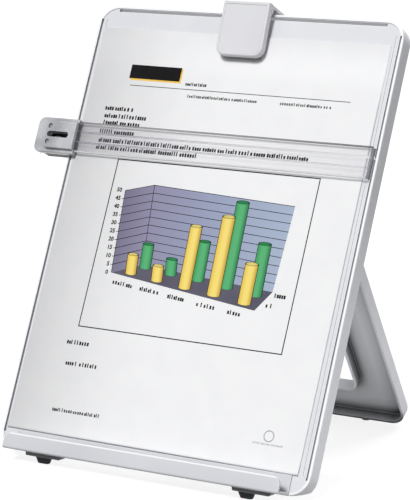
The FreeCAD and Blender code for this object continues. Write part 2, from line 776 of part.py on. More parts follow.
def guide_bar():
    """Clear strip with a runner in the right track and a tongue inside the slider head."""
    left = head_right + slide_gap
    bar = block(left, guide_right, guide_base, guide_top, guide_back, guide_front)
    long_edges = edges_where(bar, lambda b: b.XLength > overrun)
    bar = bar.makeChamfer(guide_chamfer, long_edges)
    runner_left = runner_right - guide_runner_width
    heel = guide_right - guide_runner_width
    socket = guide_back + guide_chamfer
    sole = slide_gap - track_depth
    outline = [(heel, socket), (heel, guide_back), (guide_right, slide_gap), (runner_left, slide_gap),
               (runner_left, sole), (runner_right, sole), (runner_right, slide_gap),
               (guide_right, slide_gap + guide_toe_thickness), (guide_right, socket)]
    runner = end_prism(outline, guide_base + guide_chamfer, guide_top - guide_chamfer)
    tongue = block(head_right - tongue_length, left + overrun, guide_base + tongue_margin,
                   guide_top - tongue_margin, guide_back, guide_front)
    bar = fused(bar, runner, tongue)
    cuts = [window_slot(guide_back - overrun, guide_front + overrun)]
    for third in (1, 2):
        y = guide_base + guide_height * third / 3
        cuts.append(block(left, guide_right - guide_runner_width, y - guide_line_width / 2,
                          y + guide_line_width / 2, guide_front - guide_line_depth, guide_front + overrun))
    cuts += rivet_holes(rivet_radius + pin_running_gap, guide_back - overrun, guide_front + overrun)
    return bar.cut(Part.makeCompound(cuts))


def slider_housing():
    """Front cover of the slider head: a flange with a raised block, hollow for the bar's tongue."""
    top = head_base + head_height
    flange = rounded_slab(head_left, head_right, head_base, top, head_back, head_flange_top,
                          [head_corner, 0, 0, head_corner])
    raised = rounded_slab(head_block_left, head_right,
                          head_base + head_block_margin, top - head_block_margin,
                          head_flange_top - overrun, head_block_top,
                          [head_block_corner, 0, 0, head_block_corner])
    soft = edges_where(raised, lambda b: b.ZMin > head_block_top - seat_gap)
    raised = raised.makeFillet(head_edge_round, soft)
    rim = edges_where(flange, lambda b: b.ZMin > head_flange_top - seat_gap
                      and b.XMin < head_right - seat_gap)
    flange = flange.makeFillet(head_edge_round, rim)
    housing = fused(flange, raised)
    pocket = block(head_right - tongue_length - slide_gap, head_right + overrun,
                   guide_base + tongue_margin - slide_gap, guide_top - tongue_margin + slide_gap,
                   head_back - overrun, guide_front + seat_gap)
    cuts = [pocket, window_slot(head_back, head_block_top + overrun)]
    cuts += rivet_holes(rivet_radius + pin_running_gap, head_back - overrun, head_block_top + overrun)
    cuts += rivet_holes(rivet_head_radius + rivet_sink_gap, rivet_seat, head_block_top + overrun)
    return housing.cut(Part.makeCompound(cuts))


def slider_grip():
    """Dark block beside the panel's edge, with a hook that reaches in behind its side wall."""
    right = -half_panel - slide_gap * 2
    left = head_left + grip_inset
    low = head_base + grip_margin
    top = head_base + head_height - grip_margin
    body = block(left, right, low, top, -grip_depth, head_back)
    outer = edges_where(body, lambda b: b.XMax < left + seat_gap and b.ZLength > seat_gap)
    outer += edges_where(body, lambda b: b.ZMax < seat_gap - grip_depth and b.XMax < left + seat_gap)
    body = body.makeFillet(grip_round, outer)
    back = -panel_depth - slide_gap * 2
    hook = end_prism([(right - hook_wall, 0), (right, 0), (right, back), (right + hook_reach, back),
                      (right + hook_reach, back - hook_thickness),
                      (right - hook_wall, back - hook_thickness)],
                     slot_middle - hook_height / 2, slot_middle + hook_height / 2)
    grip = fused(body, hook)
    pocket = block(window_slot_left, right + overrun, slot_middle - window_slot_width / 2,
                   slot_middle + window_slot_width / 2, head_back - brake_pocket_depth, head_back + overrun)
    cuts = [pocket] + rivet_holes(rivet_radius + pin_held_gap, head_back - rivet_depth, head_back + overrun)
    return grip.cut(Part.makeCompound(cuts))


def brake_left():
    return -half_panel - seat_gap - brake_length


def slider_brake():
    """Pad pressed on the panel's edge, so that the guide stays where it is put."""
    r = window_slot_width / 2 - seat_gap
    return block(brake_left(), -half_panel - seat_gap, slot_middle - r, slot_middle + r,
                 head_back - brake_pocket_depth + seat_gap, head_back - seat_gap)


def slider_leaf_spring():
    """A bowed strip between the pocket's end and the brake pad."""
    left = window_slot_left + seat_gap
    right = brake_left() - seat_gap
    low = slot_middle - window_slot_width / 2 + seat_gap
    base = head_back - brake_pocket_depth + seat_gap
    middle = (left + right) / 2
    under = Part.Arc(vec(left + leaf_thickness, low, base), vec(middle, low + leaf_rise, base),
                     vec(right - leaf_thickness, low, base)).toShape()
    over = Part.Arc(vec(left, low, base), vec(middle, low + leaf_rise + leaf_thickness, base),
                    vec(right, low, base)).toShape()
    ends = [Part.LineSegment(vec(left, low, base), vec(left + leaf_thickness, low, base)).toShape(),
            Part.LineSegment(vec(right - leaf_thickness, low, base), vec(right, low, base)).toShape()]
    face = Part.Face(Part.Wire(Part.__sortEdges__([under, over] + ends)))
    return face.extrude(vec(0, 0, brake_pocket_depth - seat_gap * 2))


def slider_rivets():
    rivets = []
    for x, y in rivet_places():
        shank = rod_z(rivet_radius, x, y, head_back - rivet_depth, rivet_seat)
        head = rod_z(rivet_head_radius, x, y, rivet_seat, rivet_seat + rivet_head_height)
        rivets.append(fused(shank, head))
    return Part.makeCompound(rivets)


def stand_board(shape):
    """Tilt a piece of the board from its flat frame to its place over the desk."""
    shape = shape.copy()
    shape.rotate(vec(0, 0, 0), vec(1, 0, 0), 90 - board_tilt)
    shape.translate(vec(0, 0, sheet_line_height))
    return shape


def lay_back(shape):
    """The opposite of stand_board."""
    shape = shape.copy()
    shape.translate(vec(0, 0, -sheet_line_height))
    shape.rotate(vec(0, 0, 0), vec(1, 0, 0), board_tilt - 90)
    return shape


def stand_leg(shape):
    """Turn a piece of the leg open about the hinge axis and put it over the desk."""
    shape = shape.copy()
    shape.rotate(vec(0, 0, 0), vec(1, 0, 0), open_angle)
    shape.translate(vec(0, hinge_height, hinge_z))
    return stand_board(shape)


def along_slot(shape):
    """Move a piece of the clip to where it stands on the slot."""
    shape = shape.copy()
    shape.translate(vec(clip_offset, 0, 0))
    return shape


def pieces():
    """Every node's name and its solid, standing on the desk."""
    jaw = clip_jaw()
    on_board = {
        "front_panel": front_panel(),
        "paper_ledge": paper_ledge(),
        "paper_sheet": paper_sheet(),
        "hinge_pin_left": hinge_pin(-1),
        "hinge_pin_right": hinge_pin(1),
        "clip_carriage": along_slot(clip_carriage()),
        "clip_jaw": along_slot(jaw),
        "clip_pivot_pin": along_slot(clip_pivot_pin()),
        "clip_spring": along_slot(clip_spring()),
        "clip_jaw_rubber": along_slot(clip_jaw_rubber(jaw)),
        "guide_bar": guide_bar(),
        "slider_housing": slider_housing(),
        "slider_grip": slider_grip(),
        "slider_brake": slider_brake(),
        "slider_leaf_spring": slider_leaf_spring(),
        "slider_rivets": slider_rivets(),
    }
    standing = {name: stand_board(shape) for name, shape in on_board.items()}
    standing["support_leg"] = stand_leg(support_leg())
    for side, word in ((-1, "left"), (1, "right")):
        standing["front_foot_" + word] = front_foot(side)
        standing["rear_foot_" + word] = rear_foot(side)
    return standing


def main():
    os.makedirs("parts", exist_ok=True)
    for name, shape in pieces().items():
        shape.translate(vec(-origin_x, -origin_y, 0))
        print(name, "solids", len(shape.Solids), "valid", shape.isValid(), "volume", round(shape.Volume, 1))
        shape.exportStep("parts/" + name + ".step")
    print("clip spring's least gap to itself, mm:", round(spring_self_gap(), 2))


main()
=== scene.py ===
"""A desk copy holder: a moulded board with a sheet of paper, a line guide and a sliding clip."""
import json
import math
import random

import bmesh
import bpy
from mathutils import Matrix, Vector
from mathutils.bvhtree import BVHTree


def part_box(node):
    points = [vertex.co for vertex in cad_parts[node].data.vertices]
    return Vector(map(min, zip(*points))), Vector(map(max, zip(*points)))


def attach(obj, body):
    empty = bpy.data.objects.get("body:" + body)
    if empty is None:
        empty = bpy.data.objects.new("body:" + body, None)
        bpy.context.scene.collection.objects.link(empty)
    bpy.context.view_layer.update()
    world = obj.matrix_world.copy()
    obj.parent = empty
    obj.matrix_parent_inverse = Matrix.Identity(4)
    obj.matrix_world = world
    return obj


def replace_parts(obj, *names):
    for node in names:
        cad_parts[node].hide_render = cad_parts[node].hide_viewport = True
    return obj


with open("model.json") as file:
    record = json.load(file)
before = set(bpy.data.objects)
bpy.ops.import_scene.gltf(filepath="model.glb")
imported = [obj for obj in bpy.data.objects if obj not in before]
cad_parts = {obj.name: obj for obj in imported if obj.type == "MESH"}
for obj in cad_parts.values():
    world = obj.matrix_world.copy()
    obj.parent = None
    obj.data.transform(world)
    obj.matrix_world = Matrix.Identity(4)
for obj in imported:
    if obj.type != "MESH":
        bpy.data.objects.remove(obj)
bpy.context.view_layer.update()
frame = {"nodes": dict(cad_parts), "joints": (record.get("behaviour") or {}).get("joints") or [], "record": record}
nodes = frame["nodes"]
MM = 0.001

# The board's own directions: across it, up its face, and out of it.
GUIDE_SLIDE = next(joint for joint in frame["joints"] if joint["name"] == "guide_slide")
ACROSS = Vector((1, 0, 0))
UP_BOARD = Vector(GUIDE_SLIDE["axis"]).normalized()
OUT = ACROSS.cross(UP_BOARD).normalized()

# Painted highlights on the board's rim and the ledge's lip. The lip's painted highlight starts at the first
# depth of each pair, below its crest or behind its face, and is full from the second.
RIM_HEIGHT = 0.6 * MM       # the raised rim, over the board's face
RIM_HIGHLIGHT_SPAN = 0.5 * MM          # on either side of the rim's height
LIP_REACH = 10 * MM         # only the ledge's lip stands farther than this out of the face
LIP_HIGHLIGHT_IN = (1.4 * MM, 1.0 * MM)
LIP_HIGHLIGHT_DOWN = (1.3 * MM, 0.7 * MM)

# The clear bar.
GUIDE_TOE = 1.8 * MM        # its full thickness stops this far in from its right end
WALL_COVER = 0.807          # how much its cut walls hide
LINE_COVER = 0.905          # how much its fine lines hide

# The sheet of paper.
SHEET_WIDTH = 215.9 * MM
SHEET_HEIGHT = 279.4 * MM
SHEET_HALF_THICK = 0.15 * MM
SHEET_TURN = math.radians(0.26)

# The sheet's right edge and foot lift off the board a little. These lengths are in millimetres.
FREE_EDGE = 11.0            # width of each lifted strip
FREE_EDGE_STEPS = 8         # rows of faces across a strip
FLAT_ROW = 1.0              # beside each strip, so that its shading stays off the flat paper
RIGHT_LIFT = 0.5
FOOT_LIFT = 0.9
CLIP_REACH = 32.0           # of the sheet's top stays flat, because the clip can slide over it

# Moulded edges.
SHARP = math.radians(33)    # an edge turned more than this is rounded, or shaded sharp
FLAT = math.radians(0.5)    # faces turned less than this are one flat face
WELD = 0.002 * MM
ROUNDING_DEPTH = 0.6        # of the radius: no rounded point lies farther than this from the solid

# Each CAD node's finish, and the radius along its moulded edges. At 0 only its shading is smoothed,
# and at None the node itself is shown.
NODE_LOOKS = {
    "front_panel": ("board_plastic", 0.0),
    "paper_ledge": ("ledge_plastic", 0.35 * MM),
    "paper_sheet": ("paper", None),
    "hinge_pin_left": ("polished_steel", None),
    "hinge_pin_right": ("polished_steel", None),
    "front_foot_left": ("black_rubber", 0.35 * MM),
    "front_foot_right": ("black_rubber", 0.35 * MM),
    "support_leg": ("leg_plastic", 0.4 * MM),
    "rear_foot_left": ("black_rubber", 0.3 * MM),
    "rear_foot_right": ("black_rubber", 0.3 * MM),
    "clip_carriage": ("clip_plastic", 0.25 * MM),
    "clip_pivot_pin": ("polished_steel", None),
    "clip_spring": ("spring_wire", None),
    "clip_jaw": ("clip_plastic", 0.3 * MM),
    "clip_jaw_rubber": ("grey_rubber", None),
    "guide_bar": ("clear_plastic", 0.2 * MM),
    "slider_housing": ("smoke_plastic", 0.3 * MM),
    "slider_grip": ("dark_plastic", 0.3 * MM),
    "slider_brake": ("black_rubber", None),
    "slider_leaf_spring": ("dark_spring", None),
    "slider_rivets": ("rivet_steel", None),
}

# Ink lies on the sheet in thin layers, the first one lowest. All start a little inside the paper.
INK_ROOT = -0.03 * MM
INK_STEP = 0.025 * MM
INK_SHEEN = 0.1

# Filler text, in shares: the pitch, a small letter's drop and the words follow the text's height.
LETTER_PITCH = 0.56         # of the text's height
LETTER_FILL = 0.9           # of the pitch
WORD_GAP = 1.5              # of the pitch
WORD_LENGTHS = (2, 8)       # letters in the shortest and the longest word
LAST_WORD = 1.5             # of the pitch: no word starts with less of its line left than this
TEXT_DROP = 0.35            # of the height, from the middle of a small letter to its foot
SMALL_LETTERS = ((0.8, 0.66, 1.0), (1.0, 0.84, 1.0))    # least and most width, height and thickness
TALL_LETTER = (0.55, 1.0, 1.0)
TALL_SHARE = 0.28

# Places and lengths on the page, in millimetres, from the sheet's lower left corner.
LETTERHEAD_BLOCK = (28.7, 244.8, 67.8, 254.4)
LETTERHEAD_EDGE = (29.6, 243.6, 69.0, 253.4)
LETTERHEAD_RULE = [(30.6, 239.9), (195.8, 239.9)]
# Lines of filler text: left end, right end and height.
TEXT_LINES = [
    ((73.0, 243.3), (89.5, 243.3), 2.3),
    ((76.6, 235.1), (127.7, 235.1), 2.1), ((146.1, 235.1), (182.2, 235.1), 2.1),
    ((15.8, 222.4), (36.3, 222.4), 3.1), ((16.5, 217.1), (50.8, 217.1), 3.1),
    ((16.9, 212.3), (43.9, 212.3), 3.1), ((15.8, 206.0), (44.0, 206.0), 3.1),
    ((16.5, 199.8), (177.8, 199.8), 3.1), ((15.8, 194.8), (92.6, 194.8), 3.1),
    ((29.6, 61.4), (49.5, 61.4), 2.9), ((32.3, 47.4), (54.9, 47.4), 2.9),
    ((30.6, 16.0), (65.9, 16.0), 2.4),
]
FOOT_NOTE = [((180.0, 15.9), (201.0, 15.9), 1.3)]
FOOT_RING = (190.4, 21.2)
FOOT_RING_RADIUS = 3.4
RULE_LINE, RING_LINE, FRAME_LINE, CHART_LINE = 0.45, 0.7, 1.0, 0.42
LETTER_SEED, NOTE_SEED, LABEL_SEED = 5, 30, 40
ARC_STEP = 15               # degrees from one point of a curve to the next

FRAME_CORNERS = [(35.5, 73.0), (186.6, 73.0), (186.6, 188.1), (35.5, 188.1)]
WALL_LEFT_TOP = (46.4, 167.2)
WALL_LEFT_BASE = (50.5, 111.1)
WALL_CORNER_TOP = (67.7, 172.8)
WALL_CORNER_BASE = (72.6, 118.7)
WALL_RIGHT_TOP = (173.3, 168.3)
WALL_RIGHT_BASE = (170.8, 111.6)
WALL_BLEND = (46.0, 173.0)  # the wall's colours change from the first of these to the second
CHART_FLOOR_FRONT = (160.9, 98.3)
# Printed columns: colour, middle of the top, middle of the foot, width.
COLUMNS = [
    ("green", (73.6, 133.0), (75.0, 117.0), 8.0),
    ("green", (93.4, 125.0), (95.0, 114.6), 8.0),
    ("green", (114.7, 139.0), (115.8, 113.0), 8.2),
    ("green", (135.8, 167.5), (137.3, 110.6), 9.0),
    ("green", (158.1, 142.0), (159.0, 108.0), 9.0),
    ("yellow", (63.9, 125.0), (65.3, 112.0), 7.7),
    ("yellow", (84.6, 119.5), (85.8, 109.4), 7.9),
    ("yellow", (105.9, 148.5), (107.3, 107.0), 8.4),
    ("yellow", (128.0, 157.0), (129.4, 104.8), 9.0),
    ("yellow", (152.1, 128.0), (152.6, 102.0), 9.0),
]
COLUMN_LAYERS = {"green": 3, "yellow": 5}
CAP_FLATTEN = 0.13          # of the width: half the height of a column's round top
OUTLINE = 0.8               # a column's black outline adds this to its width
AXIS_TOP_NUMBER = 50
AXIS_STEPS = 10
AXIS_TICK = (1.6, 0.3)      # out to the left and down
NUMBER_SIZE = 3.9
NUMBER_WEIGHT = 0.15        # how much each stroke is thickened
NUMBER_SHIFT = 2.6          # from the axis to the numbers' right edge
CHART_LABELS = [
    ((53.3, 104.8), (67.2, 103.4), 2.9), ((74.6, 102.6), (87.7, 101.4), 2.9),
    ((96.3, 100.0), (109.4, 98.9), 2.9), ((118.7, 97.4), (132.2, 96.2), 2.9),
    ((142.0, 95.0), (154.7, 93.9), 2.9),
    ((172.8, 109.2), (180.6, 109.0), 2.9), ((168.1, 102.3), (175.8, 102.1), 2.9),
]

FLOOR_HALF = 20.0
FLOOR_DROP = 0.2 * MM       # below the feet
FLOOR_LIT = 0.15            # share of white that lights the part
FLOOR_SHADED = 0.34         # share of white that is seen, and takes the shade
FLOOR_GLOW = 0.8            # added to what is seen
SKY_TINT = (0.96, 0.97, 1.0, 1)
SKY_LIGHT = 0.33

KEY_PLACE = (0.02, -1.0, 1.1)
KEY_TARGET = (0, 0, 0.1)
KEY_STRENGTH = 2.1
KEY_ANGLE = math.radians(14)
# Soft boxes: name, place, the point each looks at, width, height, watts and spread in degrees.
SOFT_BOXES = [
    ("front_box", (0.12, -1.1, 0.95), (0.05, 0.0, 0.2), 0.6, 0.6, 1.2, 180),
    ("low_box", (0.46, 0.03, 0.035), (0.12, 0.03, 0.03), 0.3, 0.06, 0.058, 50),
    ("inner_box", (0.05, -0.03, 0.012), (0.05, 0.14, 0.11), 0.16, 0.05, 0.055, 150),
    ("back_box", (0.25, 1.0, 0.9), (0.0, 0.1, 0.05), 0.6, 0.6, 8.0, 180),
]

# The camera stands where the sheet's four corners put it.
CAMERA_PLACE = (0.74526, -1.27434, 0.43561)
CAMERA_RIGHT = Vector((0.8644, 0.5027, -0.0045)).normalized()
CAMERA_BACK = Vector((0.4931, -0.8461, 0.2023)).normalized()
CAMERA_LENS = 164.88
CAMERA_SENSOR = 36.0
CAMERA_CLIP = (0.01, 100.0)

# Most of a noise lies between the first pair, and a mottle's two colours stand at the second.
NOISE_SPAN = (0.3, 0.7)
MOTTLE_STOPS = (0.32, 0.68)
# How alike the rounded and the real normal are where an edge's painted highlight is full, and where it is none.
EDGE_TURN = (0.88, 0.99)
LINE_CORE = 0.6             # share of a fine line's half width at full strength


def tone(colour):
    """The four linear numbers that a shader takes, from a #rrggbb code or a share of white."""
    if not isinstance(colour, str):
        return (colour, colour, colour, 1.0)
    parts = [int(colour[i:i + 2], 16) / 255 for i in (1, 3, 5)]
    return (*[c / 12.92 if c <= 0.04045 else ((c + 0.055) / 1.055) ** 2.4 for c in parts], 1.0)


def page_space():
    """The matrix from the page, with its origin at the sheet's lower left corner, to the world."""
    low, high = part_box("paper_sheet")
    along = ACROSS * math.cos(SHEET_TURN) - UP_BOARD * math.sin(SHEET_TURN)
    upward = ACROSS * math.sin(SHEET_TURN) + UP_BOARD * math.cos(SHEET_TURN)
    corner = ((low + high) / 2 - along * SHEET_WIDTH / 2 - upward * SHEET_HEIGHT / 2
              + OUT * SHEET_HALF_THICK)
    return Matrix.Translation(corner) @ Matrix((along, upward, OUT)).transposed().to_4x4()


PAGE = page_space()


def add_object(name, data):
    made = bpy.data.objects.new(name, data)
    bpy.context.scene.collection.objects.link(made)
    return made


def mesh_of(name, bm):
    mesh = bpy.data.meshes.new(name)
    bm.to_mesh(mesh)
    bm.free()
    return mesh


def settled_mesh(piece):
    """A piece's plain mesh, with its modifiers or its lettering worked out."""
    bpy.context.view_layer.update()
    ready = piece.evaluated_get(bpy.context.evaluated_depsgraph_get())
    return bpy.data.meshes.new_from_object(ready)


def add_node(tree, kind, inputs=(), **settings):
    """A new node with settings. Each input gets a node's output, a colour or a plain value."""
    made = tree.nodes.new(kind)
    for key, value in settings.items():
        setattr(made, key, value)
    for key, value in dict(inputs).items():
        if isinstance(value, bpy.types.NodeSocket):
            tree.links.new(value, made.inputs[key])
        else:
            made.inputs[key].default_value = tone(value) if isinstance(value, str) else value
    return made


def calculate(tree, operation, *values):
    made = add_node(tree, "ShaderNodeMath", enumerate(values), operation=operation)
    return made.outputs["Value"]


class Finish:
    """One material: its shader, and short calls for the patterns that drive it."""

    def __init__(self, name, **sockets):
        self.name = name
        self.material = bpy.data.materials.new(name)
        self.material.use_nodes = True
        self.tree = self.material.node_tree
        self.shader = self.tree.nodes["Principled BSDF"]
        places = self.node("ShaderNodeTexCoord").outputs
        self.place, self.normal, self.strip = places["Object"], places["Normal"], places["UV"]
        for socket, value in sockets.items():
            self.shader.inputs[socket.replace("_", " ")].default_value = value

    def node(self, kind, inputs=(), **settings):
        return add_node(self.tree, kind, inputs, **settings)

    def drive(self, socket, source):
        """Give one of the shader's sockets an output."""
        self.tree.links.new(source, self.shader.inputs[socket])
        return self

    def own_colour(self):
        return self.shader.inputs["Base Color"].links[0].from_socket

    def noise(self, scale, detail=3.0, stretch=(1, 1, 1)):
        mapping = self.node("ShaderNodeMapping", {"Scale": stretch, "Vector": self.place})
        return self.node("ShaderNodeTexNoise", {
            "Scale": scale, "Detail": detail, "Vector": mapping.outputs["Vector"]}).outputs["Fac"]

    def ramp(self, source, stops):
        """Colours along an output, from pairs of a place and a colour."""
        made = self.node("ShaderNodeValToRGB", {"Fac": source})
        elements = made.color_ramp.elements
        while len(elements) < len(stops):
            elements.new(0.5)
        for element, (place, colour) in zip(elements, stops):
            element.position = place
            element.color = tone(colour)
        return made.outputs["Color"]

    def remap(self, source, low, high, to_low=0.0, to_high=1.0):
        made = self.node("ShaderNodeMapRange", {
            "Value": source, "From Min": low, "From Max": high,
            "To Min": to_low, "To Max": to_high})
        return made.outputs["Result"]

    def calculate(self, operation, *values):
        return calculate(self.tree, operation, *values)

    def dot(self, first, second):
        made = self.node("ShaderNodeVectorMath", {0: first, 1: second}, operation="DOT_PRODUCT")
        return made.outputs["Value"]

    def blend(self, share, first, second):
        """A mix of two colours, by a share from 0 to 1."""
        return self.node("ShaderNodeMix", {
            "Factor": share, "A": first, "B": second}, data_type="RGBA").outputs["Result"]

    def near(self, source, line, width):
        """1 where an output is near a line, and 0 from a width off it."""
        distance = self.calculate("ABSOLUTE", self.calculate("SUBTRACT", source, line))
        return self.remap(distance, width * LINE_CORE, width, 1.0, 0.0)

    def mottle(self, dark, light, scale, detail=4.0, stretch=(1, 1, 1)):
        """Two close colours in soft patches."""
        stops = list(zip(MOTTLE_STOPS, (dark, light)))
        return self.drive("Base Color", self.ramp(self.noise(scale, detail, stretch), stops))

    def uneven_gloss(self, low, high, scale=55.0, stretch=(1, 1, 1)):
        patches = self.noise(scale, 5.0, stretch)
        return self.drive("Roughness", self.remap(patches, *NOISE_SPAN, low, high))

    def grain(self, scale, depth, strength):
        """A fine moulded or woven skin."""
        bump = self.node("ShaderNodeBump", {
            "Distance": depth, "Strength": strength, "Height": self.noise(scale, 2.0)})
        return self.drive("Normal", bump.outputs["Normal"])

    def bright_edges(self, light, radius):
        """Painted highlights along edges, brighter than the faces beside them."""
        rounded = self.node("ShaderNodeBevel", {"Radius": radius}, samples=6)
        skin = self.node("ShaderNodeNewGeometry")
        likeness = self.dot(rounded.outputs["Normal"], skin.outputs["Normal"])
        share = self.remap(likeness, *EDGE_TURN, 1.0, 0.0)
        return self.drive("Base Color", self.blend(share, self.own_colour(), light))

    def crevices(self, shade, reach, least=0.42, most=0.82, own_only=False):
        """Painted shade in grooves and inner corners, in full where a place is least open."""
        hollow = self.node("ShaderNodeAmbientOcclusion", {"Distance": reach},
                           samples=8, only_local=own_only)
        share = self.remap(hollow.outputs["AO"], least, most, 1.0, 0.0)
        return self.drive("Base Color", self.blend(share, self.own_colour(), shade))

    def rubbed_rims(self):
        """Painted highlights on the raised rim round the board's face and on the top of the ledge's lip."""
        face = OUT.dot(PAGE.translation) - 2 * SHEET_HALF_THICK
        ledge = [point.co for point in nodes["paper_ledge"].data.vertices]
        lip = [point for point in ledge if OUT.dot(point) > face + LIP_REACH]
        lip_top = max(UP_BOARD.dot(point) for point in lip)
        lip_face = max(OUT.dot(point) for point in lip)
        level = self.dot(self.place, OUT)
        height = self.dot(self.place, UP_BOARD)
        rim = self.near(level, face + RIM_HEIGHT, RIM_HIGHLIGHT_SPAN)
        crest = self.calculate(
            "MULTIPLY", self.remap(level, *(lip_face - depth for depth in LIP_HIGHLIGHT_IN)),
            self.remap(height, *(lip_top - depth for depth in LIP_HIGHLIGHT_DOWN)))
        # Both masks lighten the colour towards near-white, as painted highlights.
        colour = self.own_colour()
        for share in (rim, crest):
            colour = self.blend(share, colour, "#fcfcfd")
        return self.drive("Base Color", colour)


def clear_sheet(name):
    """Clear plastic strip: a faint tint through its faces, and thick-looking walls where it is cut.

    The wall towards the board's top is darkened with painted shade, the wall towards its foot lightened with
    painted light."""
    finish = Finish(name, IOR=1.49, Specular_IOR_Level=0.8, Coat_Weight=0.4, Coat_Roughness=0.03)
    height = finish.dot(finish.place, UP_BOARD)
    along = finish.dot(finish.place, ACROSS)
    facing = finish.dot(finish.normal, OUT)
    heights = [UP_BOARD.dot(point.co) for point in nodes["guide_bar"].data.vertices]
    foot, top = min(heights), max(heights)
    third = (top - foot) / 3
    low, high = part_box("guide_bar")

    tint = finish.ramp(finish.noise(26.0), [(0.3, "#8b8998"), (0.7, "#9694a3")])
    # The cut walls: darker facing the board's top and lighter facing its foot, as painted shade and painted light.
    wall_with_painted_light = finish.ramp(finish.remap(finish.dot(finish.normal, UP_BOARD), -0.9, 0.9), [
        (0.0, "#fcfcfe"), (0.35, "#f2f2f6"), (0.5, "#dad8e2"), (1.0, "#4a4852")])
    is_face = finish.remap(finish.calculate("ABSOLUTE", facing), 0.6, 0.92)
    colour = finish.blend(is_face, wall_with_painted_light, tint)
    veil = finish.ramp(finish.remap(along, low.x, high.x), [
        (0.0, 0.13), (0.25, 0.07), (0.5, 0.015), (0.8, 0.03), (1.0, 0.05)])
    cover = finish.blend(is_face, tone(WALL_COVER), veil)

    # Fine lines on the front: what each follows, where, half its width in millimetres, its colour,
    # and its strength at the bar's left and right end, where less than 0 counts as none. The two grey
    # lines are the bar's own lines; the dark lines along its top and by its toe are painted shade,
    # and the white lines are painted highlights.
    front = finish.remap(facing, 0.3, 0.6)
    for follows, line, width, shade, left, right in (
            (height, top, 0.9, "#3a3941", 0.35, 1.0),
            (height, foot, 1.0, "#ffffff", 0.8, 1.0),
            (height, foot + third, 0.35, "#8f8d9b", 1.0, 0.1),
            (height, foot + 2 * third, 0.35, "#8f8d9b", 1.0, 0.0),
            (height, foot + 2 * third, 0.5, "#ffffff", -0.4, 0.9),
            (along, high.x - GUIDE_TOE, 0.6, "#1d1c22", 1.0, 1.0)):
        fade = finish.remap(along, low.x, high.x, left, right)
        strength = finish.calculate("MULTIPLY", front, fade)
        share = finish.calculate("MULTIPLY", finish.near(follows, line, width * MM), strength)
        colour = finish.blend(share, colour, shade)
        cover = finish.blend(share, cover, tone(LINE_COVER))
    return finish.drive("Base Color", colour).drive("Alpha", cover).uneven_gloss(0.03, 0.1, 40.0)


def ink(name, dark, light, scale, detail=4.0, gloss=(0.5, 0.7)):
    finish = Finish(name, Specular_IOR_Level=INK_SHEEN).mottle(dark, light, scale, detail)
    return finish.uneven_gloss(*gloss, 400.0)


def blended_ink(name, follows, first, last, stops):
    """Ink whose colour changes along X, either across the part or across a printed strip."""
    finish = Finish(name, Specular_IOR_Level=INK_SHEEN)
    sides = finish.node("ShaderNodeSeparateXYZ", {"Vector": getattr(finish, follows)})
    colour = finish.ramp(finish.remap(sides.outputs["X"], first, last), stops)
    return finish.drive("Base Color", colour).uneven_gloss(0.5, 0.7, 400.0)


def column_ink(name, left, middle, right):
    """A printed column, shaded round like a tin from its left edge to its right."""
    return blended_ink(name, "strip", 0.0, 1.0, [
        (0.0, left), (0.35, middle), (0.65, middle), (1.0, right)])


